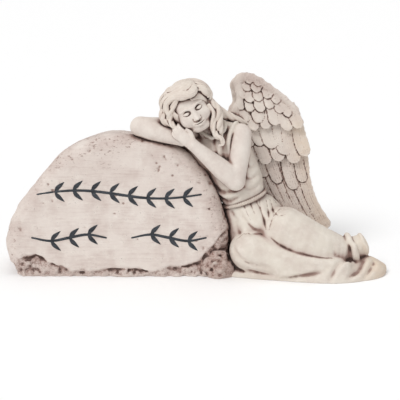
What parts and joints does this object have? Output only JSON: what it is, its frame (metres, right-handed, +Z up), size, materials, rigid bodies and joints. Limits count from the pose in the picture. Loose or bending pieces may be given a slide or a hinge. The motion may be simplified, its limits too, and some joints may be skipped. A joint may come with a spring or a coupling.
{
  "type": "resin angel figurine",
  "caption": "Resting angel figurine: an angel leans its head on folded arms on top of a flat-faced boulder, with folded wings and a spread robe.",
  "frame": {"origin": "on the ground plane under the boulder's flat underside, at the middle of the figurine's width", "axes": "+X along the width towards the robe's train, -Y towards the viewer, out of the boulder's flat face, +Z up"},
  "size_m": [0.2398, 0.0692, 0.1236],
  "materials": {
    "stone_resin": "matt cast stone with a thin brown wash",
    "rock_resin": "matt rough rock with a heavy brown wash",
    "skin_resin": "matt, smooth, pale ivory",
    "hair_resin": "matt, brown wash in the grooves",
    "robe_resin": "matt, mauve and brown wash in the folds",
    "feather_resin": "matt, brown wash between the feathers",
    "engraving_paint": "satin brushed paint"
  },
  "bodies": {
    "root": {"back_hair": "hair_resin", "boulder": "stone_resin", "cuff_fold": "robe_resin", "ground_rock": "rock_resin", "hair_cap": "hair_resin", "head": "skin_resin", "hem_drape": "robe_resin", "hip_drape": "robe_resin", "knee_drape": "robe_resin", "left_arm": "skin_resin", "left_hair_lock": "hair_resin", "left_hand": "skin_resin", "left_wing_coverts": "feather_resin", "left_wing_primaries": "feather_resin", "left_wing_secondaries": "feather_resin", "neck": "skin_resin", "right_arm": "skin_resin", "right_hair_lock": "hair_resin", "right_hand": "skin_resin", "right_wing_coverts": "feather_resin", "right_wing_primaries": "feather_resin", "right_wing_secondaries": "feather_resin", "sprig_lower_left": "engraving_paint", "sprig_lower_right": "engraving_paint", "sprig_upper": "engraving_paint", "thigh_drape": "robe_resin", "torso": "robe_resin", "waist_cord": "robe_resin"}
  },
  "joints": []
}
